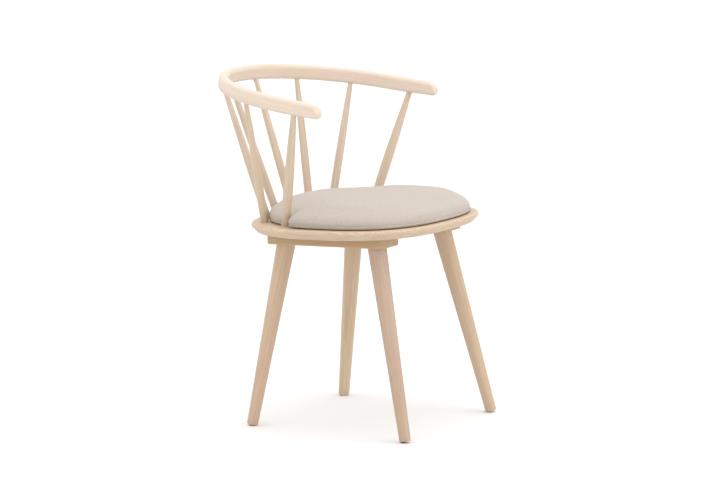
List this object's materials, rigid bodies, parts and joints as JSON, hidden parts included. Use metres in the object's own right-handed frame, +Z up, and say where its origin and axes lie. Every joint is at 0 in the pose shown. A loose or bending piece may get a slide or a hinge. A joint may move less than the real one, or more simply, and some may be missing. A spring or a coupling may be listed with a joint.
{
  "type": "spindle-back armchair",
  "caption": "Wooden armchair with a bent bow rail on turned spindles, a solid seat plate on battens, splayed tapered legs and an upholstered seat pad.",
  "frame": {"origin": "on the floor, under the middle of the chair's outline", "axes": "+Z up, -Y towards the front of the chair, +X to the right as seen from the front"},
  "size_m": [0.536, 0.5599, 0.7645],
  "materials": {
    "bleached_wood": "pale bleached hardwood with fine straight grain and a matt lacquer",
    "plywood": "raw plywood",
    "foam": "open-cell upholstery foam",
    "linen": "plain-woven beige linen-look cloth",
    "zinc_steel": "zinc-plated steel"
  },
  "bodies": {
    "root": {"bow_rail": "bleached_wood", "spindle_arm_left": "bleached_wood", "spindle_arm_right": "bleached_wood", "spindle_side_left": "bleached_wood", "spindle_side_right": "bleached_wood", "spindle_shoulder_left": "bleached_wood", "spindle_shoulder_right": "bleached_wood", "spindle_back_left": "bleached_wood", "spindle_back_right": "bleached_wood", "seat_plate": "bleached_wood", "batten_left": "bleached_wood", "batten_right": "bleached_wood", "leg_front_left": "bleached_wood", "leg_front_right": "bleached_wood", "leg_back_left": "bleached_wood", "leg_back_right": "bleached_wood", "leg_bolts": "zinc_steel", "leg_inserts": "zinc_steel", "batten_screws": "zinc_steel", "pad_board": "plywood", "pad_foam": "foam", "pad_cover": "linen", "pad_screws": "zinc_steel", "pad_nuts": "zinc_steel"}
  },
  "joints": []
}
